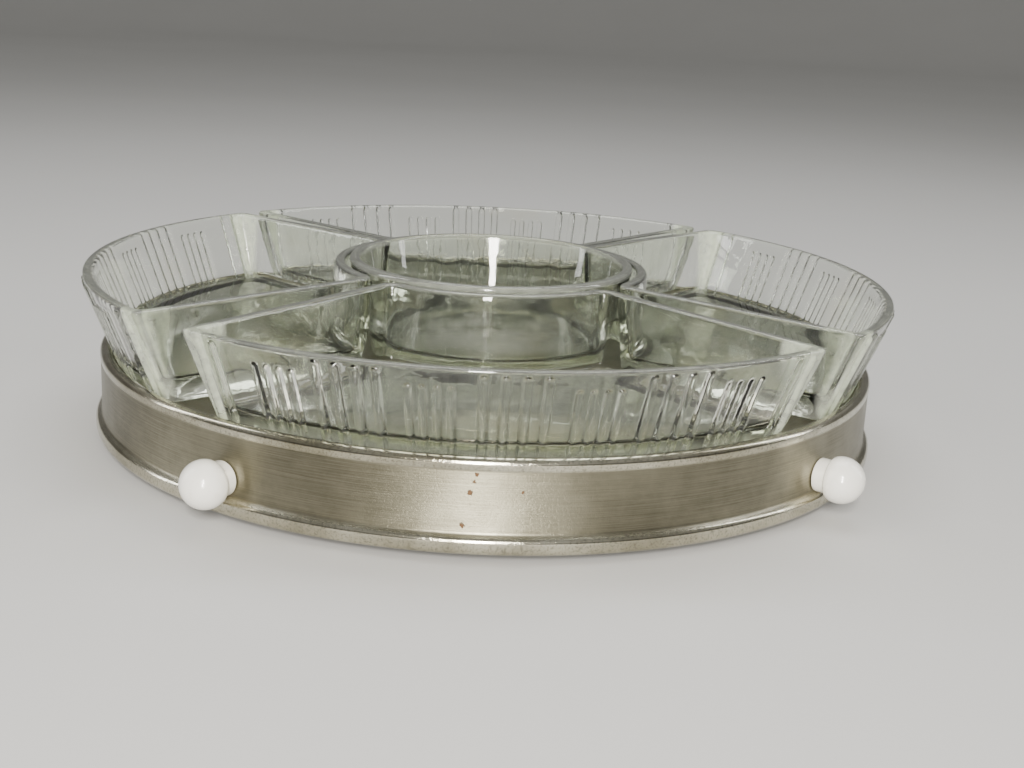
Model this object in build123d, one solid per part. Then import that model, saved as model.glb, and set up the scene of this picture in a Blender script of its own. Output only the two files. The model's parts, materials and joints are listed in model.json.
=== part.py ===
from build123d import *
import math
import os

# Lazy susan turntable: a plated steel tray turns on a ball bearing over a small stamped base,
# and carries four sector-shaped glass dishes round one centre dish.
# Millimetres, +Z up. Origin: centre of the footprint on the table. The front dish faces -Y.

# Heights
FOOT_HEIGHT = 6.0
SKIRT_GAP = 2.5          # air under the tray's lower edge
TRAY_TOP = 32.9          # crest of the rolled bead
TRAY_PLATE_TOP = 28.0    # recessed plate that the dishes stand on
RIM_HEIGHT = 62.2        # rim of the sector dishes
CENTRE_RIM_HEIGHT = 65.0
DISH_FLOOR_TOP = 35.5

# Tray pan, a drawn sheet of revolution
TRAY_SHEET = 0.9
RECESS_RADIUS = 142.4
BEAD_RADIUS = 147.25
BAND_RADIUS = 146.6
BAND_TOP = 28.6
BAND_BOTTOM = 9.0
BULGE_RADIUS = 148.9
BULGE_TOP = 7.6
LIP_RADIUS = 145.0
TRAY_BENDS = [1.6, 2.2, 2.2, 1.5, 1.0, 2.0, 2.3]

# Base plate, a drawn sheet of revolution
BASE_SHEET = 1.0
BASE_TOP = 17.0
BASE_TOP_RADIUS = 84.0
BASE_FLANGE_INNER = 88.0
BASE_FLANGE_OUTER = 108.0
BASE_LIP_BOTTOM = 3.5
BASE_BENDS = [3.0, 2.0, 2.0]

# Glass dishes
GLASS_RADIUS = 152.5
GLASS_FOOT_RADIUS = 139.5
INNER_RIM_RADIUS = 56.2
WALL = 3.9
SIDE_ANGLE = 41.4        # side walls run at this angle to the dish's centre line
SIDE_OFFSET = 1.7        # and pass this far outside the turntable's axis, at the rim
SIDE_DRAFT = 5.5
FOOT_RECESS = 1.0
FOOT_LAND = 8.0
DISH_ANGLES = {"front": 0, "right": 93.2, "back": 180, "left": -93.2}
CENTRE_RIM_RADIUS = 55.0
CENTRE_FOOT_RADIUS = 47.0
CENTRE_WALL = 4.2
INNER_CORNER = 6.0       # rounding of a sector dish's two corners by the centre dish
OUTER_CORNER = 1.6
CAVITY_CORNER = 4.0
CAVITY_BOTTOM_ROUND = 2.5
CENTRE_BOTTOM_ROUND = 3.0
RIM_ROUND = 1.1
CENTRE_RIM_ROUND = 1.4

# Ribs on the outer walls: angle of the group's centre, number, pitch in degrees, radius, drop under the rim
TALL_RIB = 1.45
SHORT_RIB = 1.15
RIB_GROUPS = (
    [(angle, 4, 2.4, TALL_RIB, 2.6) for angle in (-19.3, 0.0, 19.3)]
    + [(angle, 4, 1.65, SHORT_RIB, 6.6) for angle in (-28.6, -9.65, 9.65, 28.6)]
    + [(angle, 2, 2.3, TALL_RIB, 2.6) for angle in (-38.0, 38.0)]
)
RIB_BURIED = 0.35        # the rib's centre line lies this far under the wall's face
RIB_FOOT_GAP = 1.6

# Knobs
KNOB_ANGLES = {"front_left": -36.9, "front_right": 46.9, "back_right": 143.1, "back_left": 226.9}
KNOB_HEIGHT = 14.6
KNOB_BALL_RADIUS = 7.95
KNOB_BALL_DISTANCE = 154.9
KNOB_NECK_RADIUS = 5.8
KNOB_NECK_LENGTH = 5.2   # from the band to the ball's flat back
KNOB_NECK_EDGE = 0.6
SCREW_RADIUS = 1.6
SCREW_BITE = 9.0
SCREW_HOLE_DEPTH = 12.0
SCREW_HEAD_RADIUS = 3.0
SCREW_HEAD_HEIGHT = 2.1
WASHER_RADIUS = 4.5
WASHER_THICKNESS = 0.8
SCREW_HEAD_ROUND = 0.9
WASHER_SETBACK = 0.1     # a flat washer stands this far off the curved band

# Ball bearing
BALL_COUNT = 24
BALL_RADIUS = 3.175
BALL_CIRCLE = 60.0
GROOVE_RADIUS = 3.25
RACE_INNER = 51.0
RACE_OUTER = 69.0
RACE_THICKNESS = 2.2
CAGE_INNER = 52.0
CAGE_OUTER = 68.0
CAGE_THICKNESS = 1.5
CAGE_POCKET = 3.3
RACE_RIVET_CIRCLE = 65.4
RIVET_SHANK = 1.6
RIVET_HEAD = 2.9
RIVET_HEAD_HEIGHT = 1.0
RACE_RIVET_ANGLES = (45, 135, 225, 315)

# Pivot
STUD_RADIUS = 4.0
STUD_FLANGE_RADIUS = 9.0
STUD_FLANGE_THICKNESS = 1.5
STUD_END = 5.6
STUD_CHAMFER = 0.6
BUSH_BORE = 4.06
BUSH_RADIUS = 6.0
BUSH_FLANGE_RADIUS = 9.0
BUSH_FLANGE_THICKNESS = 1.4
BUSH_BOTTOM = 12.6
PIVOT_PLAY = 0.15
PIVOT_WASHER_RADIUS = 9.0
PIVOT_WASHER_THICKNESS = 1.4
NUT_HALF_FLATS = 6.5
NUT_HEIGHT = 4.2

# Feet
FOOT_CIRCLE = 98.0
FOOT_TOP_RADIUS = 8.0
FOOT_BOTTOM_RADIUS = 7.0
FOOT_WELL_RADIUS = 3.6
FOOT_WELL_DEPTH = 3.0
FOOT_EDGE = 0.8
FOOT_ANGLES = {"front": 0.0, "right": 90.0, "back": 180.0, "left": 270.0}

ABOVE_RIM = 10.0         # the hollows are cut this far past the rims
CUT_PAST = 1.0           # and holes this far past a face

TRAY_PLATE_BOTTOM = TRAY_PLATE_TOP - TRAY_SHEET
BALL_CENTRE = (BASE_TOP + TRAY_PLATE_BOTTOM) / 2


def around(angle):
    """Turn about the vertical axis: 0 is the front (-Y), positive runs to the right (+X)."""
    return Rot(0, 0, angle)


def turned(points):
    """Solid of revolution about Z from an outline given as (radius, height)."""
    outline = make_face(Polyline(*points, close=True))
    return revolve(Plane.XZ * outline, axis=Axis.Z)


def drawn_sheet(points, radii, thickness):
    """Sheet of revolution: the line is its upper and outer face, and the metal lies inside it."""
    face_line = FilletPolyline(*points, radius=radii)
    outline = make_face(offset(face_line, amount=thickness, side=Side.RIGHT, closed=True))
    return revolve(Plane.XZ * outline, axis=Axis.Z)


def disc(radius, low, high):
    return Pos(0, 0, low) * Cylinder(radius, high - low, align=(Align.CENTER, Align.CENTER, Align.MIN))


def ring(inner, outer, low, high):
    return disc(outer, low, high) - disc(inner, low - CUT_PAST, high + CUT_PAST)


def at_circle(shape, radius, angle):
    """A shape built on the Z axis, moved out to a circle at the given angle."""
    return around(angle) * Pos(0, -radius, 0) * shape


def wall_radius(height):
    """Outer radius of a sector dish's outer wall at a height."""
    share = (height - TRAY_PLATE_TOP) / (RIM_HEIGHT - TRAY_PLATE_TOP)
    return GLASS_FOOT_RADIUS + (GLASS_RADIUS - GLASS_FOOT_RADIUS) * share


OUTER_DRAFT = math.atan((GLASS_RADIUS - GLASS_FOOT_RADIUS) / (RIM_HEIGHT - TRAY_PLATE_TOP))
SIDE_SLOPE = math.tan(math.radians(SIDE_DRAFT))


# ---------------------------------------------------------------- tray

def tray_pan():
    line = [
        (0, TRAY_PLATE_TOP),
        (RECESS_RADIUS, TRAY_PLATE_TOP),
        (RECESS_RADIUS, TRAY_TOP),
        (BEAD_RADIUS, TRAY_TOP),
        (BAND_RADIUS, BAND_TOP),
        (BAND_RADIUS, BAND_BOTTOM),
        (BULGE_RADIUS, BULGE_TOP),
        (BULGE_RADIUS, SKIRT_GAP),
        (LIP_RADIUS, SKIRT_GAP),
    ]
    pan = drawn_sheet(line, TRAY_BENDS, TRAY_SHEET)
    hole = Rot(90, 0, 0) * Cylinder(SCREW_RADIUS, SCREW_HOLE_DEPTH)
    for angle in KNOB_ANGLES.values():
        pan -= around(angle) * Pos(0, -BAND_RADIUS, KNOB_HEIGHT) * hole
    return pan


def on_band(shape, angle):
    """A shape turned about Z from the band's face outwards, laid along a knob's own axis."""
    return around(angle) * Pos(0, -BAND_RADIUS, KNOB_HEIGHT) * Rot(90, 0, 0) * shape


def knob():
    """Ball with a flat back on a short neck, drilled for its screw."""
    centre = KNOB_BALL_DISTANCE - BAND_RADIUS
    ball = Pos(0, 0, centre) * Sphere(KNOB_BALL_RADIUS)
    ball -= disc(KNOB_BALL_RADIUS, centre - KNOB_BALL_RADIUS - CUT_PAST, KNOB_NECK_LENGTH)
    neck = turned([
        (0, 0),
        (KNOB_NECK_RADIUS - KNOB_NECK_EDGE, 0),
        (KNOB_NECK_RADIUS, KNOB_NECK_EDGE),
        (KNOB_NECK_RADIUS, centre),
        (0, centre),
    ])
    return ball + neck - disc(SCREW_RADIUS, -CUT_PAST, SCREW_BITE)


def knob_screw():
    back = -TRAY_SHEET - WASHER_SETBACK - WASHER_THICKNESS
    shank = disc(SCREW_RADIUS, back, SCREW_BITE)
    head = disc(SCREW_HEAD_RADIUS, back - SCREW_HEAD_HEIGHT, back)
    head = fillet(head.edges().group_by(Axis.Z)[0], SCREW_HEAD_ROUND)
    return shank + head


def knob_washer():
    front = -TRAY_SHEET - WASHER_SETBACK
    return ring(SCREW_RADIUS, WASHER_RADIUS, front - WASHER_THICKNESS, front)


def pivot_stud():
    flange = disc(STUD_FLANGE_RADIUS, TRAY_PLATE_BOTTOM - STUD_FLANGE_THICKNESS, TRAY_PLATE_BOTTOM)
    shank = disc(STUD_RADIUS, STUD_END, TRAY_PLATE_BOTTOM)
    shank = chamfer(shank.edges().group_by(Axis.Z)[0], STUD_CHAMFER)
    return flange + shank


def pivot_washer():
    top = BUSH_BOTTOM - PIVOT_PLAY
    return ring(STUD_RADIUS, PIVOT_WASHER_RADIUS, top - PIVOT_WASHER_THICKNESS, top)


def pivot_nut():
    top = BUSH_BOTTOM - PIVOT_PLAY - PIVOT_WASHER_THICKNESS
    hexagon = RegularPolygon(NUT_HALF_FLATS, 6, major_radius=False)
    body = Pos(0, 0, top - NUT_HEIGHT) * extrude(hexagon, NUT_HEIGHT)
    return body - disc(STUD_RADIUS, 0, top + CUT_PAST)


# ---------------------------------------------------------------- bearing

def race(low):
    """A flat ring with a round groove for the balls."""
    groove = Pos(0, 0, BALL_CENTRE) * Torus(BALL_CIRCLE, GROOVE_RADIUS)
    return ring(RACE_INNER, RACE_OUTER, low, low + RACE_THICKNESS) - groove


def lower_race():
    body = race(BASE_TOP)
    for angle in RACE_RIVET_ANGLES:
        body -= at_circle(disc(RIVET_SHANK, 0, TRAY_PLATE_BOTTOM), RACE_RIVET_CIRCLE, angle)
    return body


def upper_race():
    return race(TRAY_PLATE_BOTTOM - RACE_THICKNESS)


def race_rivet():
    low = BASE_TOP - BASE_SHEET
    high = BASE_TOP + RACE_THICKNESS
    shank = disc(RIVET_SHANK, low, high)
    heads = disc(RIVET_HEAD, high, high + RIVET_HEAD_HEIGHT) + disc(RIVET_HEAD, low - RIVET_HEAD_HEIGHT, low)
    return shank + heads


def ball_retainer():
    half = CAGE_THICKNESS / 2
    cage = ring(CAGE_INNER, CAGE_OUTER, BALL_CENTRE - half, BALL_CENTRE + half)
    pocket = disc(CAGE_POCKET, BALL_CENTRE - CAGE_THICKNESS, BALL_CENTRE + CAGE_THICKNESS)
    for index in range(BALL_COUNT):
        cage -= at_circle(pocket, BALL_CIRCLE, index * 360 / BALL_COUNT)
    return cage


# ---------------------------------------------------------------- base

def base_plate():
    line = [
        (BUSH_RADIUS, BASE_TOP),
        (BASE_TOP_RADIUS, BASE_TOP),
        (BASE_FLANGE_INNER, FOOT_HEIGHT + BASE_SHEET),
        (BASE_FLANGE_OUTER, FOOT_HEIGHT + BASE_SHEET),
        (BASE_FLANGE_OUTER, BASE_LIP_BOTTOM),
    ]
    plate = drawn_sheet(line, BASE_BENDS, BASE_SHEET)
    for angle in RACE_RIVET_ANGLES:
        plate -= at_circle(disc(RIVET_SHANK, 0, BASE_TOP + CUT_PAST), RACE_RIVET_CIRCLE, angle)
    for angle in FOOT_ANGLES.values():
        plate -= at_circle(disc(RIVET_SHANK, 0, BASE_TOP), FOOT_CIRCLE, angle)
    return plate


def pivot_bush():
    barrel = disc(BUSH_RADIUS, BUSH_BOTTOM, BASE_TOP)
    flange = disc(BUSH_FLANGE_RADIUS, BASE_TOP, BASE_TOP + BUSH_FLANGE_THICKNESS)
    return barrel + flange - disc(BUSH_BORE, 0, TRAY_PLATE_BOTTOM)


def rubber_foot():
    body = turned([(0, 0), (FOOT_BOTTOM_RADIUS, 0), (FOOT_TOP_RADIUS, FOOT_HEIGHT), (0, FOOT_HEIGHT)])
    body = fillet(body.edges().group_by(Axis.Z)[0], FOOT_EDGE)
    well = disc(FOOT_WELL_RADIUS, -CUT_PAST, FOOT_WELL_DEPTH)
    return body - well - disc(RIVET_SHANK, 0, FOOT_HEIGHT + CUT_PAST)


def foot_rivet():
    high = FOOT_HEIGHT + BASE_SHEET
    shank = disc(RIVET_SHANK, FOOT_WELL_DEPTH, high)
    top_head = disc(RIVET_HEAD, high, high + RIVET_HEAD_HEIGHT)
    low_head = disc(RIVET_HEAD, FOOT_WELL_DEPTH - RIVET_HEAD_HEIGHT, FOOT_WELL_DEPTH)
    return shank + top_head + low_head


# ---------------------------------------------------------------- glass dishes

def between_side_walls(body, inset):
    """Cuts a body of revolution to the wedge between a sector dish's two drafted side walls."""
    angle = math.radians(SIDE_ANGLE)
    draft = math.radians(SIDE_DRAFT)
    for side in (-1, 1):
        outward = Vector(side * math.cos(angle), math.sin(angle), 0)
        face_point = outward * (SIDE_OFFSET - inset) + Vector(0, 0, RIM_HEIGHT)
        normal = outward * math.cos(draft) - Vector(0, 0, math.sin(draft))
        body = split(body, bisect_by=Plane(origin=face_point, z_dir=normal), keep=Keep.BOTTOM)
    return body


def corner_posts(body):
    """The four steep edges of a sector body, the two inner ones first."""
    height = RIM_HEIGHT - TRAY_PLATE_TOP
    steep = body.edges().filter_by(lambda edge: abs((edge @ 1).Z - (edge @ 0).Z) > height / 2)
    return steep.sort_by(Axis.Y, reverse=True)


def sector_profile(low, inset):
    """Outline of a sector dish's section, as a full turn, with every wall moved in by inset."""
    slope = inset / math.cos(OUTER_DRAFT)
    inner = INNER_RIM_RADIUS + inset
    outer_low = wall_radius(low) - slope
    inner_low = inner + (RIM_HEIGHT - low) * SIDE_SLOPE
    return [
        (inner_low, low),
        (outer_low, low),
        (GLASS_RADIUS - slope, RIM_HEIGHT),
        (inner, RIM_HEIGHT),
    ]


def cavity_profile():
    """The hollow of a sector dish: its section carried on past the rim."""
    inner_low, outer_low, outer_rim, inner_rim = sector_profile(DISH_FLOOR_TOP, WALL)
    top = RIM_HEIGHT + ABOVE_RIM
    outer_top = wall_radius(top) - WALL / math.cos(OUTER_DRAFT)
    inner_top = inner_low[0] - (top - DISH_FLOOR_TOP) * SIDE_SLOPE
    return [inner_low, outer_low, (outer_top, top), (inner_top, top)]


def rib(angle, radius, drop):
    """A round-ended rib along the slope of the outer wall."""
    buried_low = wall_radius(TRAY_PLATE_TOP + RIB_FOOT_GAP) - RIB_BURIED
    buried_high = wall_radius(RIM_HEIGHT - drop) - RIB_BURIED
    low = Vector(0, -buried_low, TRAY_PLATE_TOP + RIB_FOOT_GAP)
    high = Vector(0, -buried_high, RIM_HEIGHT - drop)
    run = high - low
    bar = Plane(origin=low, z_dir=run) * Cylinder(
        radius, run.length, align=(Align.CENTER, Align.CENTER, Align.MIN)
    )
    ends = Pos(low) * Sphere(radius) + Pos(high) * Sphere(radius)
    return around(angle) * (bar + ends)


def sector_dish():
    outside = between_side_walls(turned(sector_profile(TRAY_PLATE_TOP, 0)), 0)
    outside = fillet(corner_posts(outside)[:2], INNER_CORNER)
    outside = fillet(corner_posts(outside)[-2:], OUTER_CORNER)

    cavity = between_side_walls(turned(cavity_profile()), WALL)
    cavity = fillet(corner_posts(cavity), CAVITY_CORNER)
    cavity = fillet(cavity.edges().group_by(Axis.Z)[0], CAVITY_BOTTOM_ROUND)

    low = TRAY_PLATE_TOP - CUT_PAST
    high = TRAY_PLATE_TOP + FOOT_RECESS
    inner = INNER_RIM_RADIUS + (RIM_HEIGHT - TRAY_PLATE_TOP) * SIDE_SLOPE + FOOT_LAND
    outer = GLASS_FOOT_RADIUS - FOOT_LAND
    under = turned([(inner, low), (outer, low), (outer, high), (inner, high)])
    under = between_side_walls(under, FOOT_LAND)

    dish = outside - cavity - under
    rim = dish.faces().sort_by(Axis.Z)[-1]
    dish = fillet(rim.edges(), RIM_ROUND)
    ribs = [
        rib(angle + (index - (count - 1) / 2) * pitch, radius, drop)
        for angle, count, pitch, radius, drop in RIB_GROUPS
        for index in range(count)
    ]
    return dish + ribs


def centre_dish():
    outside = turned([
        (0, TRAY_PLATE_TOP),
        (CENTRE_FOOT_RADIUS, TRAY_PLATE_TOP),
        (CENTRE_RIM_RADIUS, CENTRE_RIM_HEIGHT),
        (0, CENTRE_RIM_HEIGHT),
    ])
    slope = (CENTRE_RIM_RADIUS - CENTRE_FOOT_RADIUS) / (CENTRE_RIM_HEIGHT - TRAY_PLATE_TOP)
    floor_radius = CENTRE_FOOT_RADIUS + slope * (DISH_FLOOR_TOP - TRAY_PLATE_TOP) - CENTRE_WALL
    top = CENTRE_RIM_HEIGHT + ABOVE_RIM
    cavity = turned([
        (0, DISH_FLOOR_TOP),
        (floor_radius, DISH_FLOOR_TOP),
        (floor_radius + slope * (top - DISH_FLOOR_TOP), top),
        (0, top),
    ])
    cavity = fillet(cavity.edges().group_by(Axis.Z)[0], CENTRE_BOTTOM_ROUND)
    dish = outside - cavity - disc(CENTRE_FOOT_RADIUS - FOOT_LAND, 0, TRAY_PLATE_TOP + FOOT_RECESS)
    return fillet(dish.edges().group_by(Axis.Z)[-1], CENTRE_RIM_ROUND)


# ---------------------------------------------------------------- writing the pieces

def save(name, shape):
    export_step(shape, f"parts/{name}.step")


def group(shapes):
    return Compound(children=[Compound(shape.wrapped) for shape in shapes])


os.makedirs("parts", exist_ok=True)

save("tray_pan", tray_pan())
for place, angle in KNOB_ANGLES.items():
    save(f"knob_{place}", on_band(knob(), angle))
save("knob_screws", group([on_band(knob_screw(), angle) for angle in KNOB_ANGLES.values()]))
save("knob_washers", group([on_band(knob_washer(), angle) for angle in KNOB_ANGLES.values()]))
save("pivot_stud", pivot_stud())
save("pivot_washer", pivot_washer())
save("pivot_nut", pivot_nut())
save("upper_race", upper_race())

save("ball_retainer", ball_retainer())
ball = Pos(0, 0, BALL_CENTRE) * Sphere(BALL_RADIUS)
save("bearing_balls", group([
    at_circle(ball, BALL_CIRCLE, index * 360 / BALL_COUNT) for index in range(BALL_COUNT)
]))

save("base_plate", base_plate())
save("pivot_bush", pivot_bush())
save("lower_race", lower_race())
save("race_rivets", group([
    at_circle(race_rivet(), RACE_RIVET_CIRCLE, angle) for angle in RACE_RIVET_ANGLES
]))
for place, angle in FOOT_ANGLES.items():
    save(f"foot_{place}", at_circle(rubber_foot(), FOOT_CIRCLE, angle))
save("foot_rivets", group([
    at_circle(foot_rivet(), FOOT_CIRCLE, angle) for angle in FOOT_ANGLES.values()
]))

dish = sector_dish()
for place, angle in DISH_ANGLES.items():
    save(f"{place}_dish", around(angle) * dish)
save("centre_dish", centre_dish())
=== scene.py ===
import json
import math

import bmesh
import bpy
from mathutils import Matrix, Vector


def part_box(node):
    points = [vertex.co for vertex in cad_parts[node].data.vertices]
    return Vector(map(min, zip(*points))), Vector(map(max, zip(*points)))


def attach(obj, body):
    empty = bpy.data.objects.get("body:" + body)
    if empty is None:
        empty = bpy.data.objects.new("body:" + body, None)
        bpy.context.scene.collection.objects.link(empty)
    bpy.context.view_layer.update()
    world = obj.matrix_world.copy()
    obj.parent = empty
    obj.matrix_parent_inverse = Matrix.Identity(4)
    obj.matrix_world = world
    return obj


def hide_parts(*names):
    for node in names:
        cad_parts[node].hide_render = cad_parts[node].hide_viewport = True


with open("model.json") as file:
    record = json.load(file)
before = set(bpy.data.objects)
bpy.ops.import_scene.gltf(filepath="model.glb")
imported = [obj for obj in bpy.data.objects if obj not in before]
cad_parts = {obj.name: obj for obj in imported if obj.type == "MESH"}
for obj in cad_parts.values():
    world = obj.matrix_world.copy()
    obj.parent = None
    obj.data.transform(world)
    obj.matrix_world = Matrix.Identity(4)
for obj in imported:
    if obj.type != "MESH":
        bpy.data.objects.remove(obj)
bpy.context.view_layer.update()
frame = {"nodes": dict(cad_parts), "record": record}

# Lazy susan turntable, in metres: a plated tray that turns on a small base, and five glass dishes.
# The front dish faces -Y. Angles run from the front (-Y), positive to the right (+X).

MM = 0.001
NODES = frame["nodes"]

front_low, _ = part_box("front_dish")
tray_low, tray_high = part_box("tray_pan")
_, centre_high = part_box("centre_dish")

DISH_BOTTOM = front_low[2]
TRAY_BOTTOM = tray_low[2]
TRAY_TOP = tray_high[2]
TRAY_RADIUS = tray_high[0]
CENTRE_RIM = centre_high[2]

PLATE_TOP = 28.0 * MM                    # the plate that the dishes stand on
BAND = 146.6 * MM                        # radius of the flat band
BAND_LOW = 9.0 * MM
BAND_HIGH = 28.6 * MM

GLASS_RADIUS = 152.5 * MM                # outer edge of the sector dishes, at the rim
INNER_RADIUS = 56.2 * MM                 # their inner edge
FLOOR = 35.5 * MM                        # inside floor of the dishes
RIM = 61.4 * MM                          # rim of a sector dish at its outer wall
RIM_RISE = 2.0 * MM                      # the rim climbs this much to the inner wall
RIM_CLIMB = RIM_RISE / (GLASS_RADIUS - INNER_RADIUS)


# ---------------------------------------------------------------- camera

CAMERA_DISTANCE = 3.752 * GLASS_RADIUS   # from the tray's axis, at the tray's lower edge
CAMERA_ELEVATION = math.radians(16.98)
CAMERA_AZIMUTH = math.radians(-3.4)      # the camera stands a little left of the front dish's middle
CAMERA_PAN = math.radians(1.04)
CAMERA_TILT = math.radians(1.17)
CAMERA_ROLL = math.radians(2.53)
LENS = 50.38
SENSOR = 36.0


def make_camera():
    """A camera in front of the tray, turned by its pan, tilt and roll in that order."""
    back = math.cos(CAMERA_ELEVATION)
    rise = math.sin(CAMERA_ELEVATION)
    ahead = Vector((0, back, -rise))
    side = Vector((1, 0, 0))
    up = side.cross(ahead)
    ahead, side = (
        ahead * math.cos(CAMERA_PAN) + side * math.sin(CAMERA_PAN),
        side * math.cos(CAMERA_PAN) - ahead * math.sin(CAMERA_PAN),
    )
    ahead, up = (
        ahead * math.cos(CAMERA_TILT) + up * math.sin(CAMERA_TILT),
        up * math.cos(CAMERA_TILT) - ahead * math.sin(CAMERA_TILT),
    )
    side, up = (
        side * math.cos(CAMERA_ROLL) + up * math.sin(CAMERA_ROLL),
        up * math.cos(CAMERA_ROLL) - side * math.sin(CAMERA_ROLL),
    )
    turn = Matrix((side, up, -ahead)).transposed().to_4x4()
    stand = Vector((0, -CAMERA_DISTANCE * back, CAMERA_DISTANCE * rise + TRAY_BOTTOM))
    data = bpy.data.cameras.new("camera")
    data.lens = LENS
    data.sensor_width = SENSOR
    data.clip_start = 0.01
    camera = bpy.data.objects.new("camera", data)
    camera.matrix_world = Matrix.Rotation(CAMERA_AZIMUTH, 4, "Z") @ Matrix.Translation(stand) @ turn
    bpy.context.scene.collection.objects.link(camera)
    bpy.context.scene.camera = camera


# ---------------------------------------------------------------- shader helpers

class Shader:
    """A material's node tree, with short calls for the nodes that the materials share."""

    def __init__(self, name):
        self.material = bpy.data.materials.new(name)
        self.material.use_nodes = True
        self.tree = self.material.node_tree
        self.bsdf = self.tree.nodes["Principled BSDF"]

    def node(self, kind, **settings):
        made = self.tree.nodes.new(kind)
        for key, value in settings.items():
            setattr(made, key, value)
        return made

    def link(self, source, target):
        self.tree.links.new(source, target)

    def put(self, target, value):
        """Sets a socket to a number, or links another socket to it."""
        if isinstance(value, bpy.types.NodeSocket):
            self.link(value, target)
        else:
            target.default_value = value

    def place(self):
        """Position on the resting object, in metres."""
        return self.node("ShaderNodeTexCoord").outputs["Object"]

    def split(self, vector):
        parts = self.node("ShaderNodeSeparateXYZ")
        self.link(vector, parts.inputs[0])
        return parts.outputs

    def join(self, x, y, z):
        made = self.node("ShaderNodeCombineXYZ")
        for socket, value in zip(made.inputs, (x, y, z)):
            self.put(socket, value)
        return made.outputs[0]

    def math(self, operation, a, b=0.0, c=0.0):
        made = self.node("ShaderNodeMath", operation=operation)
        for socket, value in zip(made.inputs, (a, b, c)):
            self.put(socket, value)
        return made.outputs[0]

    def noise(self, vector, scale, detail=4.0, rough=0.5, distortion=0.0):
        made = self.node("ShaderNodeTexNoise")
        self.link(vector, made.inputs["Vector"])
        made.inputs["Scale"].default_value = scale
        made.inputs["Detail"].default_value = detail
        made.inputs["Roughness"].default_value = rough
        made.inputs["Distortion"].default_value = distortion
        return made.outputs["Fac"]

    def spots(self, vector, scale, randomness=1.0):
        """Distance from the nearest of many scattered points."""
        made = self.node("ShaderNodeTexVoronoi")
        self.link(vector, made.inputs["Vector"])
        made.inputs["Scale"].default_value = scale
        made.inputs["Randomness"].default_value = randomness
        return made.outputs["Distance"]

    def ramp(self, value, low, high, to_low=0.0, to_high=1.0):
        """Straight-line map from low..high to to_low..to_high, held at its ends."""
        made = self.node("ShaderNodeMapRange")
        self.put(made.inputs["Value"], value)
        ends = {"From Min": low, "From Max": high, "To Min": to_low, "To Max": to_high}
        for name, number in ends.items():
            made.inputs[name].default_value = number
        return made.outputs["Result"]

    def blend(self, share, first, second):
        """Colour that goes from first to second as share goes from 0 to 1."""
        made = self.node("ShaderNodeMix", data_type="RGBA")
        self.put(made.inputs["Factor"], share)
        for socket, value in ((made.inputs[6], first), (made.inputs[7], second)):
            self.put(socket, value if isinstance(value, bpy.types.NodeSocket) else (*value, 1.0))
        return made.outputs[2]

    def bump(self, height, distance, strength=1.0):
        made = self.node("ShaderNodeBump")
        made.inputs["Strength"].default_value = strength
        made.inputs["Distance"].default_value = distance
        self.link(height, made.inputs["Height"])
        self.link(made.outputs["Normal"], self.bsdf.inputs["Normal"])

    def axis_distance(self, x, y):
        return self.math("SQRT", self.math("ADD", self.math("POWER", x, 2.0), self.math("POWER", y, 2.0)))

    def distance(self, position, point):
        made = self.node("ShaderNodeVectorMath", operation="DISTANCE")
        self.link(position, made.inputs[0])
        made.inputs[1].default_value = point
        return made.outputs["Value"]

    def around(self, position, along=1.0, up=1.0):
        """Coordinates that run round the vertical axis, up, and outwards."""
        x, y, z = self.split(position)
        angle = self.math("ARCTAN2", x, self.math("MULTIPLY", y, -1.0))
        radius = self.axis_distance(x, y)
        return self.join(
            self.math("MULTIPLY", angle, along),
            self.math("MULTIPLY", z, up),
            self.math("MULTIPLY", radius, up),
        )


# ---------------------------------------------------------------- materials

# The sector dishes' outer corner posts, which get a painted pale glow: degrees from the front, to the right
# and to the left
POST_ANGLES = (39.7, 53.5, 132.9, 140.3)
POST_RADIUS = 136.0 * MM                 # they show outside this radius
POST_HALF_WIDTH = 0.022                  # radians
POST_FADE = 0.007
RIM_BAND = 1.0 * MM                      # depth of the painted pale glow along the rims


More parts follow.
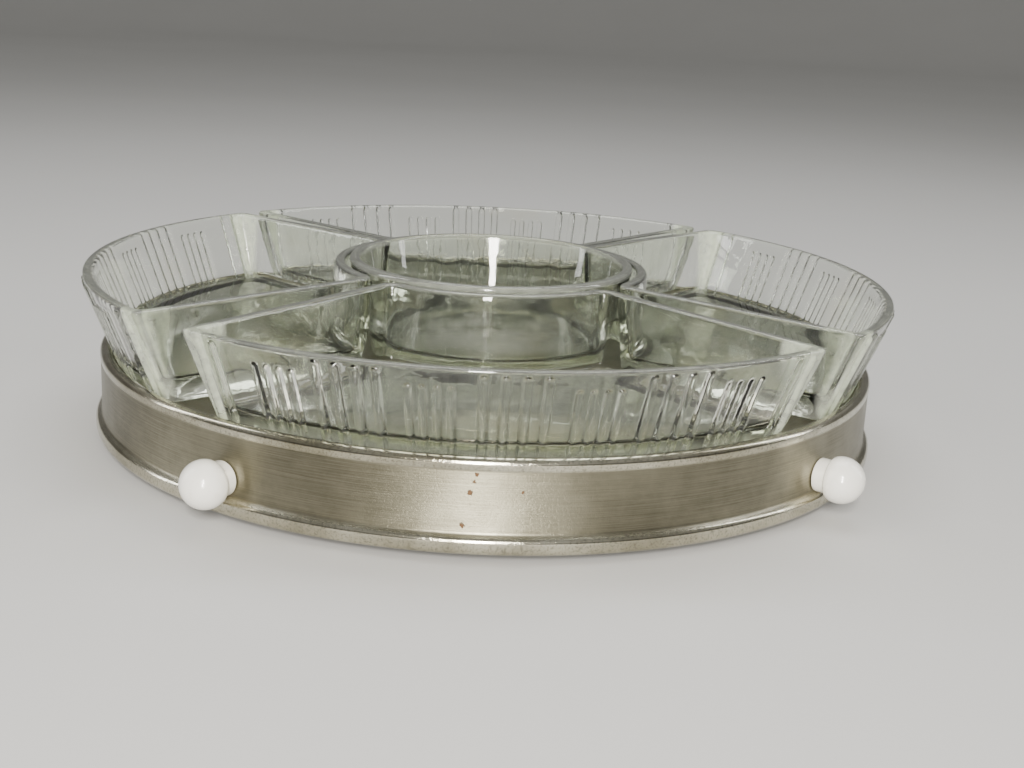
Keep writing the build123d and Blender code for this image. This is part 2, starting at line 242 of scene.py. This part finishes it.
def glass_material():
    """Clear pressed glass with a faint green body, and a painted pale glow along its rims, foot and corner
    posts.
    """
    s = Shader("pressed_glass")
    at = s.place()
    x, y, z = s.split(at)
    smudge = s.noise(at, 45.0, 5.0, 0.6)
    stain = s.ramp(s.noise(at, 22.0, 4.0, 0.65, 0.6), 0.56, 0.78)
    radius = s.axis_distance(x, y)
    rim_here = s.math("MULTIPLY_ADD", radius, -RIM_CLIMB, RIM + GLASS_RADIUS * RIM_CLIMB)
    # Painted glow: pale glass along the rims, the foot and the outer corner posts stands in for light
    # carried along inside the glass edges.
    painted_edge_glow = s.ramp(s.math("SUBTRACT", z, rim_here), -RIM_BAND, -0.1 * RIM_BAND, 0.0, 0.42)
    painted_edge_glow = s.math("MAXIMUM", painted_edge_glow, s.ramp(z, DISH_BOTTOM, FLOOR, 0.5, 0.0))
    turn = s.math("ABSOLUTE", s.math("ARCTAN2", x, s.math("MULTIPLY", y, -1.0)))
    outside = s.ramp(radius, POST_RADIUS, POST_RADIUS + 3 * MM)
    for degrees in POST_ANGLES:
        beside = s.math("ABSOLUTE", s.math("SUBTRACT", turn, math.radians(degrees)))
        post = s.ramp(beside, POST_HALF_WIDTH, POST_HALF_WIDTH + POST_FADE, 1.0, 0.0)
        painted_edge_glow = s.math("MAXIMUM", painted_edge_glow, s.math("MULTIPLY", post, outside))
    painted_edge_glow = s.math("MULTIPLY", painted_edge_glow, s.ramp(s.noise(at, 300.0, 3.0), 0.25, 0.6, 0.6, 1.0))
    clear = s.blend(stain, (0.955, 0.975, 0.925), (0.93, 0.91, 0.79))
    # The painted glow makes the glass pale green, less clear and rougher there.
    s.put(s.bsdf.inputs["Base Color"], s.blend(painted_edge_glow, clear, (0.84, 0.91, 0.72)))
    s.put(s.bsdf.inputs["Transmission Weight"], s.ramp(painted_edge_glow, 0.0, 1.0, 1.0, 0.62))
    haze = s.ramp(smudge, 0.45, 0.8, 0.012, 0.085)
    s.put(s.bsdf.inputs["Roughness"], s.math("MULTIPLY_ADD", painted_edge_glow, 0.14, haze))
    s.bsdf.inputs["IOR"].default_value = 1.52
    wave = s.math("ADD", s.noise(at, 60.0, 2.0), s.math("MULTIPLY", s.noise(at, 420.0, 2.0), 0.06))
    s.bump(wave, 0.0006, 0.4)
    body = s.node("ShaderNodeVolumeAbsorption")
    body.inputs["Color"].default_value = (0.87, 0.905, 0.64, 1.0)
    body.inputs["Density"].default_value = 6.5
    s.link(body.outputs[0], s.tree.nodes["Material Output"].inputs["Volume"])
    return s.material


# Rust specks at the front of the band: degrees from the front, height and radius in mm
RUST_SPECKS = [(-4.0, 27.8, 0.6), (-4.2, 25.6, 0.3), (-4.7, 22.0, 0.7), (-5.5, 11.5, 0.7), (1.5, 22.6, 0.4)]
RAGGED = 2.4 * MM                        # how far their edges wander


def plated_material():
    """Tarnished nickel plate: a brushed band between a polished, speckled bead and bulge."""
    s = Shader("tarnished_plate")
    at = s.place()
    z = s.split(at)[2]
    above = s.ramp(z, BAND_LOW - 1.1 * MM, BAND_LOW + 0.1 * MM)
    below = s.ramp(z, BAND_HIGH + 0.1 * MM, BAND_HIGH + 0.9 * MM, 1.0, 0.0)
    band = s.math("MULTIPLY", above, below)
    brushed = s.noise(s.around(at, 0.5, 300.0), 10.0, 6.0, 0.75)
    cloud = s.noise(at, 24.0, 6.0, 0.65)
    speckle = s.ramp(s.noise(at, 1300.0, 3.0, 0.7), 0.50, 0.64)
    pit_size = s.ramp(s.noise(at, 48.0, 2.0), 0.54, 0.78, 0.0, 0.12)
    pits = s.math("LESS_THAN", s.spots(at, 105.0), pit_size)
    ragged = s.math("MULTIPLY", s.noise(at, 1100.0, 4.0, 0.8), RAGGED)
    for degrees, height, radius in RUST_SPECKS:
        angle = math.radians(degrees)
        middle = (BAND * math.sin(angle), -BAND * math.cos(angle), height * MM)
        away = s.math("ADD", s.distance(at, middle), ragged)
        edge = radius * MM + RAGGED / 2
        pits = s.math("MAXIMUM", pits, s.ramp(away, edge - 0.1 * MM, edge + 0.1 * MM, 1.0, 0.0))
    tarnish = s.blend(s.ramp(cloud, 0.34, 0.68), (0.102, 0.092, 0.060), (0.29, 0.27, 0.197))
    tarnish = s.blend(s.ramp(brushed, 0.35, 0.75, 0.0, 0.55), tarnish, (0.44, 0.415, 0.315))
    polished = s.blend(s.ramp(cloud, 0.34, 0.62), (0.34, 0.315, 0.225), (0.66, 0.63, 0.51))
    polished = s.blend(s.math("MULTIPLY", speckle, 0.5), polished, (0.07, 0.06, 0.035))
    plate = s.blend(band, polished, tarnish)
    s.put(s.bsdf.inputs["Base Color"], s.blend(pits, plate, (0.12, 0.058, 0.022)))
    s.put(s.bsdf.inputs["Metallic"], s.ramp(pits, 0.0, 1.0, 1.0, 0.1))
    smooth = s.math("MULTIPLY_ADD", band, 0.26, s.math("MULTIPLY_ADD", speckle, 0.06, 0.07))
    smooth = s.math("MULTIPLY_ADD", brushed, 0.12, smooth)
    s.put(s.bsdf.inputs["Roughness"], s.math("MULTIPLY_ADD", pits, 0.45, smooth))
    s.put(s.bsdf.inputs["Anisotropic"], s.math("MULTIPLY", band, 0.8))
    s.bsdf.inputs["Anisotropic Rotation"].default_value = 0.25
    circling = s.node("ShaderNodeTangent", direction_type="RADIAL", axis="Z")
    s.link(circling.outputs["Tangent"], s.bsdf.inputs["Tangent"])
    relief = s.math("MULTIPLY", s.math("MULTIPLY", brushed, band), 0.6)
    relief = s.math("SUBTRACT", relief, s.math("MULTIPLY", speckle, 0.2))
    s.bump(s.math("SUBTRACT", relief, pits), 0.00008, 0.7)
    return s.material


def knob_material():
    s = Shader("white_knob")
    at = s.place()
    cloud = s.noise(at, 120.0, 4.0, 0.55)
    grime = s.ramp(s.noise(at, 340.0, 5.0, 0.7), 0.60, 0.80)
    white = s.blend(cloud, (0.80, 0.775, 0.70), (0.88, 0.865, 0.81))
    s.put(s.bsdf.inputs["Base Color"], s.blend(s.math("MULTIPLY", grime, 0.35), white, (0.52, 0.43, 0.30)))
    s.put(s.bsdf.inputs["Roughness"], s.ramp(cloud, 0.3, 0.7, 0.16, 0.30))
    s.bsdf.inputs["Coat Weight"].default_value = 0.35
    s.bsdf.inputs["Coat Roughness"].default_value = 0.06
    s.bump(s.noise(at, 700.0, 2.0), 0.00012, 0.25)
    return s.material


def metal_material(name, dark, light, rough, grain=900.0, metallic=1.0):
    """Worked metal: a clouded colour, a fine grain, and scattered dull marks."""
    s = Shader(name)
    at = s.place()
    cloud = s.noise(at, 70.0, 5.0, 0.6)
    fine = s.noise(at, grain, 3.0, 0.6)
    dull = s.ramp(s.noise(at, 210.0, 4.0, 0.7), 0.58, 0.72)
    clean = s.blend(cloud, dark, light)
    s.put(s.bsdf.inputs["Base Color"], s.blend(s.math("MULTIPLY", dull, 0.5), clean, dark))
    s.bsdf.inputs["Metallic"].default_value = metallic
    spread = s.math("ADD", s.math("MULTIPLY", fine, 0.14), s.math("MULTIPLY", dull, 0.2))
    s.put(s.bsdf.inputs["Roughness"], s.math("ADD", spread, rough))
    s.bump(fine, 0.00006, 0.4)
    return s.material


def rubber_material():
    s = Shader("foot_rubber")
    at = s.place()
    dust = s.ramp(s.noise(at, 160.0, 5.0, 0.65), 0.5, 0.75)
    s.put(s.bsdf.inputs["Base Color"], s.blend(dust, (0.018, 0.017, 0.016), (0.085, 0.08, 0.072)))
    s.put(s.bsdf.inputs["Roughness"], s.ramp(dust, 0.0, 1.0, 0.62, 0.85))
    s.bump(s.noise(at, 1300.0, 3.0, 0.6), 0.0001, 0.35)
    return s.material


def floor_material():
    s = Shader("pale_floor")
    at = s.place()
    cloud = s.noise(at, 3.0, 3.0)
    s.put(s.bsdf.inputs["Base Color"], s.blend(cloud, (0.50, 0.495, 0.485), (0.545, 0.54, 0.53)))
    s.bsdf.inputs["Roughness"].default_value = 0.85
    s.bsdf.inputs["Specular IOR Level"].default_value = 0.2
    return s.material


# ---------------------------------------------------------------- mesh helpers

def new_piece(name, mesh_builder, material, body, slot, *nodes):
    """Makes an object from a filled bmesh, with its body and the CAD nodes it stands for, which it hides.
    The slot argument is not used.
    """
    mesh = bpy.data.meshes.new(name)
    bmesh.ops.recalc_face_normals(mesh_builder, faces=mesh_builder.faces)
    mesh_builder.to_mesh(mesh)
    mesh_builder.free()
    mesh.shade_smooth()
    mesh.materials.append(material)
    piece = bpy.data.objects.new(name, mesh)
    bpy.context.scene.collection.objects.link(piece)
    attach(piece, body)
    if nodes:
        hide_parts(*nodes)
    return piece


def join_rings(builder, rings):
    """Quads between each two neighbouring closed rings of vertices."""
    for lower, upper in zip(rings, rings[1:]):
        count = len(lower)
        for i in range(count):
            j = (i + 1) % count
            builder.faces.new((lower[i], lower[j], upper[j], upper[i]))


def rounded_line(points, radii, step):
    """The outline through points, with each inner corner rounded, its arcs in chords of about step."""
    line = [Vector(points[0])]
    for before, corner, after, radius in zip(points, points[1:], points[2:], radii):
        before, corner, after = Vector(before), Vector(corner), Vector(after)
        into = (corner - before).normalized()
        out = (after - corner).normalized()
        turn = math.atan2(into.cross(out), into.dot(out))
        reach = radius * math.tan(abs(turn) / 2)
        start = corner - into * reach
        normal = Vector((-into.y, into.x)) * math.copysign(1, turn)
        centre = start + normal * radius
        pieces = max(2, round(radius * abs(turn) / step))
        for k in range(pieces + 1):
            line.append(centre + Matrix.Rotation(turn * k / pieces, 2) @ (start - centre))
    line.append(Vector(points[-1]))
    return line


def lathe(profile, segments):
    """Turns a closed outline of (radius, height) about Z. The whole turn shares a point on the axis."""
    builder = bmesh.new()
    columns = []
    for radius, height in profile:
        if radius < 1e-6:
            columns.append([builder.verts.new((0, 0, height))] * segments)
            continue
        columns.append([
            builder.verts.new((radius * math.sin(angle), -radius * math.cos(angle), height))
            for angle in (math.tau * k / segments for k in range(segments))
        ])
    for lower, upper in zip(columns, columns[1:] + columns[:1]):
        for k in range(segments):
            m = (k + 1) % segments
            corners = []
            for vert in (lower[k], lower[m], upper[m], upper[k]):
                if vert not in corners:
                    corners.append(vert)
            if len(corners) > 2:
                builder.faces.new(corners)
    return builder


# ---------------------------------------------------------------- tray pan

SHEET = 0.9 * MM
RECESS_RADIUS = 142.4 * MM
BEAD_RADIUS = 147.25 * MM
BULGE_HIGH = 7.6 * MM
LIP_RADIUS = 145.0 * MM
BENDS = [bend * MM for bend in (1.6, 2.2, 2.2, 1.5, 1.0, 2.0, 2.3)]
BEND_STEP = 0.35 * MM


def tray_outline():
    """The pan's section: recessed plate, rolled bead, flat band, bulge and lip."""
    corner_points = [
        (0, PLATE_TOP),
        (RECESS_RADIUS, PLATE_TOP),
        (RECESS_RADIUS, TRAY_TOP),
        (BEAD_RADIUS, TRAY_TOP),
        (BAND, BAND_HIGH),
        (BAND, BAND_LOW),
        (TRAY_RADIUS, BULGE_HIGH),
        (TRAY_RADIUS, TRAY_BOTTOM),
        (LIP_RADIUS, TRAY_BOTTOM),
    ]
    return rounded_line(corner_points, BENDS, BEND_STEP)


def sheet_section(face_line, thickness):
    """Closed section of a sheet: its face line, and that line moved to its right by the thickness."""
    back = []
    for i, point in enumerate(face_line):
        before = face_line[max(i - 1, 0)]
        after = face_line[min(i + 1, len(face_line) - 1)]
        along = (after - before).normalized()
        back.append(point + Vector((along.y, -along.x)) * thickness)
    back[0].x = 0.0
    return face_line + back[::-1]


def make_tray(material):
    section = sheet_section(tray_outline(), SHEET)
    new_piece("tray_shell", lathe(section, 384), material, "tray", "plated_pan", "tray_pan")


# ---------------------------------------------------------------- glass dishes

FOOT_RADIUS = 139.5 * MM
WALL = 3.9 * MM
SIDE_ANGLE = math.radians(41.4)          # the side walls run this far from the dish's middle line
SIDE_OFFSET = 1.7 * MM                   # and this far outside the ray at that angle
SIDE_SLOPE = math.tan(math.radians(5.5))
NEIGHBOUR = 93.2                         # degrees from the front dish to the side dishes

ARC_STEPS = 660
CORNER_STEPS = 10
SIDE_STEPS = 40
INNER_ARC_STEPS = 70


class Outline:
    """A sector dish's plan at one height: both arcs, the side walls, and the corner rounding."""

    def __init__(self, height, inset, outer_corner, inner_corner):
        share = (height - DISH_BOTTOM) / (RIM - DISH_BOTTOM)
        self.outer = FOOT_RADIUS + (GLASS_RADIUS - FOOT_RADIUS) * share - inset
        self.inner = INNER_RADIUS + (RIM - height) * SIDE_SLOPE + inset
        self.side = SIDE_OFFSET - (RIM - height) * SIDE_SLOPE - inset
        self.outer_corner = outer_corner
        self.inner_corner = inner_corner

    def half(self):
        """Points of the right half, from the middle of the outer arc to the middle of the inner arc."""
        normal = Vector((math.cos(SIDE_ANGLE), -math.sin(SIDE_ANGLE)))
        along = Vector((math.sin(SIDE_ANGLE), math.cos(SIDE_ANGLE)))
        c = self.outer_corner
        reach = math.sqrt((self.outer - c) ** 2 - (self.side - c) ** 2)
        outer_centre = normal * (self.side - c) + along * reach
        outer_angle = math.atan2(outer_centre.x, outer_centre.y)
        wall_angle = math.atan2(normal.x, normal.y)
        points = []
        half_arc = ARC_STEPS // 2
        for k in range(half_arc):
            a = outer_angle * k / half_arc
            points.append(Vector((self.outer * math.sin(a), self.outer * math.cos(a))))
        for k in range(CORNER_STEPS):
            a = outer_angle + (wall_angle - outer_angle) * k / CORNER_STEPS
            points.append(outer_centre + Vector((math.sin(a), math.cos(a))) * c)
        c = self.inner_corner
        reach = math.sqrt((self.inner + c) ** 2 - (self.side - c) ** 2)
        inner_centre = normal * (self.side - c) + along * reach
        inner_angle = math.atan2(inner_centre.x, inner_centre.y)
        wall_start = outer_centre + normal * self.outer_corner
        wall_end = inner_centre + normal * c
        for k in range(SIDE_STEPS):
            points.append(wall_start.lerp(wall_end, k / SIDE_STEPS))
        end_angle = inner_angle + math.pi
        for k in range(CORNER_STEPS):
            a = wall_angle + (end_angle - wall_angle) * k / CORNER_STEPS
            points.append(inner_centre + Vector((math.sin(a), math.cos(a))) * c)
        half_inner = INNER_ARC_STEPS // 2
        for k in range(half_inner + 1):
            a = inner_angle * (1 - k / half_inner)
            points.append(Vector((self.inner * math.sin(a), self.inner * math.cos(a))))
        return points

    def ring(self):
        right = self.half()
        left = [Vector((-p.x, p.y)) for p in reversed(right[1:-1])]
        return right + left


def rim_height(point):
    """The rim climbs a little from the outer arc to the inner one."""
    return RIM + RIM_CLIMB * (GLASS_RADIUS - point.length)


# Ribs on the outer wall: each size is a half width, a height, and the top end's distance below the rim.
# Each group has its middle's angle, a number, a pitch in degrees, and a size.
TALL = (1.7 * MM, 1.15 * MM, 1.4 * MM)
SHORT = (1.35 * MM, 0.95 * MM, 5.8 * MM)
RIB_GROUPS = (
    [(angle, 4, 2.4, TALL) for angle in (-19.3, 0.0, 19.3)]
    + [(angle, 4, 1.65, SHORT) for angle in (-28.6, -9.65, 9.65, 28.6)]
    + [(angle, 2, 2.3, TALL) for angle in (-38.0, 38.0)]
)
RIB_FOOT = DISH_BOTTOM + 1.4 * MM


def rib_list():
    ribs = []
    for middle, count, pitch, size in RIB_GROUPS:
        for index in range(count):
            ribs.append((math.radians(middle + (index - (count - 1) / 2) * pitch), size))
    return ribs


RIBS = rib_list()


def rib_swell(angle, radius, height):
    """How far the ribs stand out of the outer wall at a place on it."""
    swell = 0.0
    for rib_angle, (half_width, rise, drop) in RIBS:
        across = abs(angle - rib_angle) * radius
        if across > half_width:
            continue
        top = RIM - drop - half_width
        low = RIB_FOOT + half_width
        beyond = max(height - top, low - height, 0.0)
        near = (across ** 2 + beyond ** 2) / half_width ** 2
        if near < 1:
            swell = max(swell, rise * (1 - near) ** 0.8)
    return swell


def spaced(low, high, step):
    count = max(1, round((high - low) / step))
    return [low + (high - low) * k / count for k in range(count)]


def wall_levels():
    """Heights of the outer wall's rows, close together where the ribs begin and end."""
    short_top = RIM - SHORT[2]
    tall_top = RIM - TALL[2]
    levels = spaced(DISH_BOTTOM + 1.0 * MM, RIB_FOOT + 1.8 * MM, 0.45 * MM)
    levels += spaced(RIB_FOOT + 1.8 * MM, short_top - 2.4 * MM, 2.6 * MM)
    levels += spaced(short_top - 2.4 * MM, short_top + 0.4 * MM, 0.45 * MM)
    levels += spaced(short_top + 0.4 * MM, tall_top - 2.6 * MM, 0.8 * MM)
    levels += spaced(tall_top - 2.6 * MM, tall_top + 0.4 * MM, 0.45 * MM)
    return levels


def quarter(steps):
    """Sine and cosine pairs over a quarter turn."""
    angles = [math.pi / 2 * k / steps for k in range(steps + 1)]
    return [(math.sin(a), math.cos(a)) for a in angles]


RIM_ROUND = 1.2 * MM
FOOT_ROUND = 1.0 * MM
FLOOR_ROUND = 2.6 * MM
FOOT_LAND = 7.0 * MM
FOOT_RECESS = 1.0 * MM


def dish_section():
    """The dish's section as (height, inset, lift): lift is how far the height follows the rim's climb."""
    rows = [(DISH_BOTTOM + FOOT_RECESS, FOOT_LAND + 0.8 * MM, 0.0)]
    rows += [
        (DISH_BOTTOM + FOOT_RECESS * (1 - s), FOOT_LAND + 0.8 * MM - 1.2 * MM * (1 - c), 0.0)
        for s, c in quarter(4)[1:]
    ]
    rows += [(DISH_BOTTOM, FOOT_ROUND + 0.6 * MM, 0.0)]
    rows += [(DISH_BOTTOM + FOOT_ROUND * (1 - c), FOOT_ROUND * (1 - s), 0.0) for s, c in quarter(5)[:-1]]
    rows += [(level, 0.0, (level - DISH_BOTTOM) / (RIM - DISH_BOTTOM)) for level in wall_levels()]
    top = RIM - RIM_ROUND
    rows += [(top + RIM_ROUND * s, RIM_ROUND * (1 - c), 1.0) for s, c in quarter(6)]
    rows += [(top + RIM_ROUND * c, WALL - RIM_ROUND * (1 - s), 1.0) for s, c in quarter(6)]
    low = FLOOR + FLOOR_ROUND
    rows += [
        (level, WALL, (level - DISH_BOTTOM) / (RIM - DISH_BOTTOM))
        for level in reversed(spaced(low, top, 3.0 * MM))
    ]
    rows += [(low - FLOOR_ROUND * s, WALL + FLOOR_ROUND * (1 - c), 0.0) for s, c in quarter(6)[1:]]
    return rows


def sector_mesh(turn):
    """One sector dish, as rings that run under it, up its wall, over the rim and down to its floor."""
    builder = bmesh.new()
    cosine, sine = math.cos(turn), math.sin(turn)
    rings = []
    for height, inset, lift in dish_section():
        outer_corner = max(2.0 * MM, 1.2 * MM + inset * 0.6)
        inner_corner = max(1.5 * MM, 6.0 * MM - inset * 0.6)
        ring = []
        for point in Outline(height, inset, outer_corner, inner_corner).ring():
            level = height + (rim_height(point) - RIM) * lift
            radius = point.length
            if inset == 0.0:
                angle = math.atan2(point.x, point.y)
                swell = rib_swell(angle, radius, level)
                if radius > FOOT_RADIUS - WALL:
                    point = point * (1 + swell / radius)
            x, y = point.x, -point.y
            ring.append(builder.verts.new((x * cosine - y * sine, x * sine + y * cosine, level)))
        rings.append(ring)
    join_rings(builder, rings)
    builder.faces.new(rings[0])
    builder.faces.new(rings[-1])
    return builder


def make_sector_dishes(material):
    turns = {"front": 0.0, "right": NEIGHBOUR, "back": 180.0, "left": -NEIGHBOUR}
    for place, degrees in turns.items():
        node = f"{place}_dish"
        mesh = sector_mesh(math.radians(degrees))
        new_piece(f"{place}_glass_dish", mesh, material, f"{node}_glass", "clear_glass", node)


CENTRE_RIM_RADIUS = 55.0 * MM
CENTRE_FOOT_RADIUS = 47.0 * MM
CENTRE_WALL = 4.2 * MM
CENTRE_ROUNDS = [size * MM for size in (0.8, 0.8, 1.4, 1.6, 1.6, 4.0)]


def make_centre_dish(material):
    """The plain round dish, turned from its section."""
    slope = (CENTRE_RIM_RADIUS - CENTRE_FOOT_RADIUS) / (CENTRE_RIM - DISH_BOTTOM)
    floor_radius = CENTRE_FOOT_RADIUS + slope * (FLOOR - DISH_BOTTOM) - CENTRE_WALL
    land = CENTRE_FOOT_RADIUS - FOOT_LAND
    corner_points = [
        (0, DISH_BOTTOM + FOOT_RECESS),
        (land - FOOT_RECESS, DISH_BOTTOM + FOOT_RECESS),
        (land, DISH_BOTTOM),
        (CENTRE_FOOT_RADIUS, DISH_BOTTOM),
        (CENTRE_RIM_RADIUS, CENTRE_RIM),
        (CENTRE_RIM_RADIUS - CENTRE_WALL, CENTRE_RIM),
        (floor_radius, FLOOR),
        (0, FLOOR),
    ]
    section = rounded_line(corner_points, CENTRE_ROUNDS, 0.3 * MM)
    body, slot, node = "centre_dish_glass", "clear_glass", "centre_dish"
    new_piece("centre_glass_dish", lathe(section, 256), material, body, slot, node)


# ---------------------------------------------------------------- knobs

KNOB_ANGLES = {"front_left": -36.9, "front_right": 46.9, "back_right": 143.1, "back_left": 226.9}
KNOB_HEIGHT = 14.6 * MM
BALL_RADIUS = 7.95 * MM
BALL_AT = 154.9 * MM - BAND
NECK_RADIUS = 5.8 * MM
NECK_LENGTH = 5.2 * MM                   # from the band to the ball's flat back
NECK_EDGE = 0.7 * MM
NECK_FILLET = 0.3 * MM
SHOULDER_ROUND = 0.5 * MM
SHOULDER_REACH = 0.15                    # radians of the ball that the rounded shoulder takes up
BALL_STEPS = 48


def knob_section():
    """Neck, the ball's flat back and the ball, as (radius, distance from the band)."""
    shoulder = math.acos((BALL_AT - NECK_LENGTH) / BALL_RADIUS)
    start = shoulder + SHOULDER_REACH
    sweep = math.pi - start
    angles = [start + sweep * k / BALL_STEPS for k in range(BALL_STEPS + 1)]
    ball = [Vector((BALL_RADIUS * math.sin(a), BALL_AT - BALL_RADIUS * math.cos(a))) for a in angles]
    ball[-1].x = 0.0
    corner_points = [
        (0, 0),
        (NECK_RADIUS, 0),
        (NECK_RADIUS, NECK_LENGTH),
        (BALL_RADIUS * math.sin(shoulder), NECK_LENGTH),
        ball[0],
    ]
    neck = rounded_line(corner_points, [NECK_EDGE, NECK_FILLET, SHOULDER_ROUND], 0.12 * MM)
    return neck[:-1] + ball


def make_knobs(material):
    for place, degrees in KNOB_ANGLES.items():
        builder = lathe(knob_section(), 96)
        outward = Matrix.Rotation(math.radians(90), 4, "X")
        stand = Matrix.Translation((0, -BAND, KNOB_HEIGHT))
        builder.transform(Matrix.Rotation(math.radians(degrees), 4, "Z") @ stand @ outward)
        new_piece(f"ball_knob_{place}", builder, material, "tray", "knob_white", f"knob_{place}")


# ---------------------------------------------------------------- carried-over CAD nodes

def dress_cad_nodes():
    """The hidden mechanism keeps its CAD shapes and gets worked finishes."""
    zinc = metal_material("zinc_plate", (0.42, 0.43, 0.44), (0.66, 0.67, 0.68), 0.24)
    race = metal_material("race_steel", (0.30, 0.29, 0.28), (0.50, 0.49, 0.48), 0.26, 1400.0)
    ball = metal_material("ball_steel", (0.55, 0.55, 0.56), (0.72, 0.72, 0.73), 0.05, 2000.0)
    brass = metal_material("turned_brass", (0.50, 0.36, 0.14), (0.76, 0.58, 0.26), 0.22)
    enamel = metal_material("base_enamel", (0.035, 0.034, 0.033), (0.075, 0.073, 0.07), 0.38, 700.0, 0.0)
    rubber = rubber_material()
    finishes = {
        "zinc_steel": zinc, "race_steel": race, "ball_steel": ball,
        "brass": brass, "base_steel": enamel, "foot_rubber": rubber,
    }
    for part in frame["record"]["subparts"]:
        finish = finishes.get(part["material_slot"])
        if finish is None:
            continue
        for entry in NODES[part["node"]].material_slots:
            entry.material = finish


# ---------------------------------------------------------------- stage

def area_light(name, place, target, size, power, colour=(1.0, 1.0, 1.0)):
    data = bpy.data.lights.new(name, "AREA")
    data.shape = "RECTANGLE"
    data.size, data.size_y = size
    data.energy = power
    data.color = colour
    lamp = bpy.data.objects.new(name, data)
    lamp.location = place
    lamp.rotation_euler = (Vector(target) - Vector(place)).to_track_quat("-Z", "Y").to_euler()
    bpy.context.scene.collection.objects.link(lamp)


FLOOR_RADIUS = 4.6
FLOOR_CURVE = 1.6
FLOOR_HEIGHT = 1.8                       # of the wall that it curves up into
FLOOR_BACK = 4.7
FLOOR_UNDER = -0.05


def make_stage():
    """A plain floor that curves up a long way off, so that no edge or horizon shows."""
    face = [(0, 0), (FLOOR_RADIUS, 0), (FLOOR_RADIUS, FLOOR_HEIGHT)]
    back = [(FLOOR_BACK, FLOOR_HEIGHT), (FLOOR_BACK, FLOOR_UNDER), (0, FLOOR_UNDER)]
    builder = lathe(rounded_line(face, [FLOOR_CURVE], 0.04) + back, 192)
    bmesh.ops.recalc_face_normals(builder, faces=builder.faces)
    mesh = bpy.data.meshes.new("floor")
    builder.to_mesh(mesh)
    builder.free()
    mesh.shade_smooth()
    mesh.materials.append(floor_material())
    floor = bpy.data.objects.new("floor", mesh)
    bpy.context.scene.collection.objects.link(floor)

    world = bpy.data.worlds.new("studio")
    bpy.context.scene.world = world
    world.use_nodes = True
    backdrop = world.node_tree.nodes["Background"]
    backdrop.inputs["Color"].default_value = (0.85, 0.85, 0.82, 1.0)
    backdrop.inputs["Strength"].default_value = 0.42

    warm = (1.0, 0.965, 0.90)
    area_light("key", (-0.08, -0.95, 0.36), (0, -0.05, 0.03), (0.11, 0.50), 21.0, warm)
    area_light("top", (0.1, 0.3, 1.1), (0, 0, 0.03), (0.9, 0.6), 8.0)
    area_light("left_strip", (-0.9, 0.1, 0.5), (0, 0, 0.05), (0.12, 0.9), 3.0)
    area_light("right_strip", (0.95, 0.0, 0.55), (0, 0, 0.05), (0.12, 0.9), 3.0)


# ---------------------------------------------------------------- the whole object

make_camera()
glass = glass_material()
make_tray(plated_material())
make_sector_dishes(glass)
make_centre_dish(glass)
make_knobs(knob_material())
dress_cad_nodes()
make_stage()
